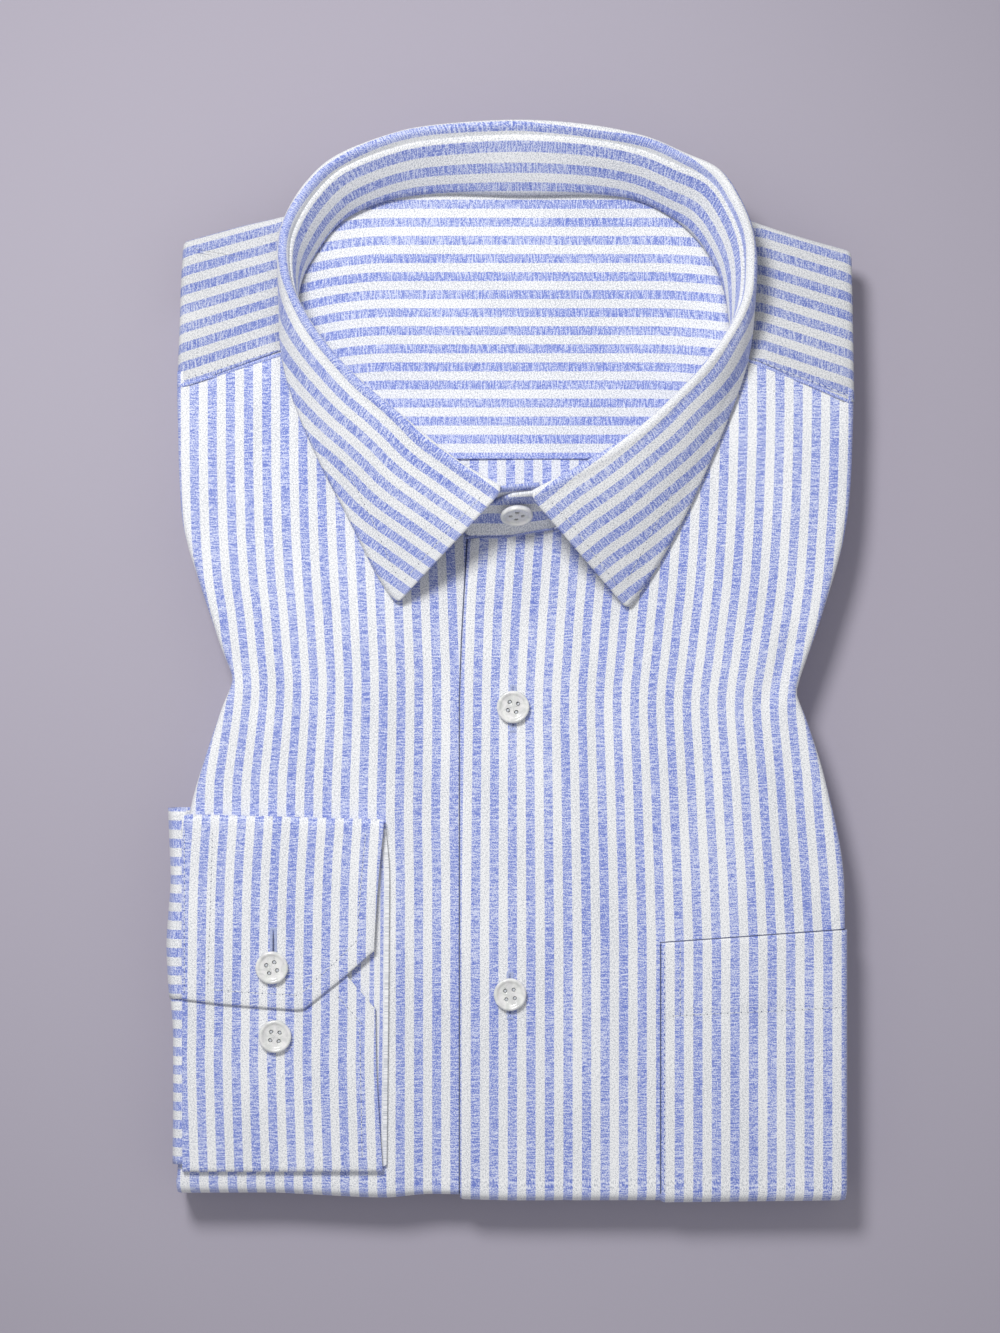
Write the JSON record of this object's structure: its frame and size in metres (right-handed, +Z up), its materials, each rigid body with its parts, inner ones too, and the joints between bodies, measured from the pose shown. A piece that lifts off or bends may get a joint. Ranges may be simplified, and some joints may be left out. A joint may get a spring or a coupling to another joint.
{
  "type": "folded dress shirt",
  "caption": "Blue and white striped long-sleeved dress shirt, buttoned and folded flat for display, with its collar standing, a cuff laid on the front and a chest pocket at the fold.",
  "frame": {"origin": "middle of the bounding box, on the surface the folded shirt rests on", "axes": "+X to the side that carries the pocket, +Y from the bottom fold to the collar, +Z up out of the shirt's front"},
  "size_m": [0.2325, 0.3655, 0.0472],
  "materials": {
    "striped_cotton": "matt woven cotton, blue and white stripes",
    "shell_button": "polished pearl white"
  },
  "bodies": {
    "root": {"right_front": "striped_cotton", "left_front": "striped_cotton", "yoke": "striped_cotton", "yoke_lining": "striped_cotton", "back": "striped_cotton", "collar_stand": "striped_cotton", "collar_fall": "striped_cotton", "pocket": "striped_cotton", "cuff": "striped_cotton", "sleeve": "striped_cotton", "folded_layers": "striped_cotton", "collar_button": "shell_button", "front_button_1": "shell_button", "front_button_2": "shell_button", "cuff_button_1": "shell_button", "cuff_button_2": "shell_button"}
  },
  "joints": []
}
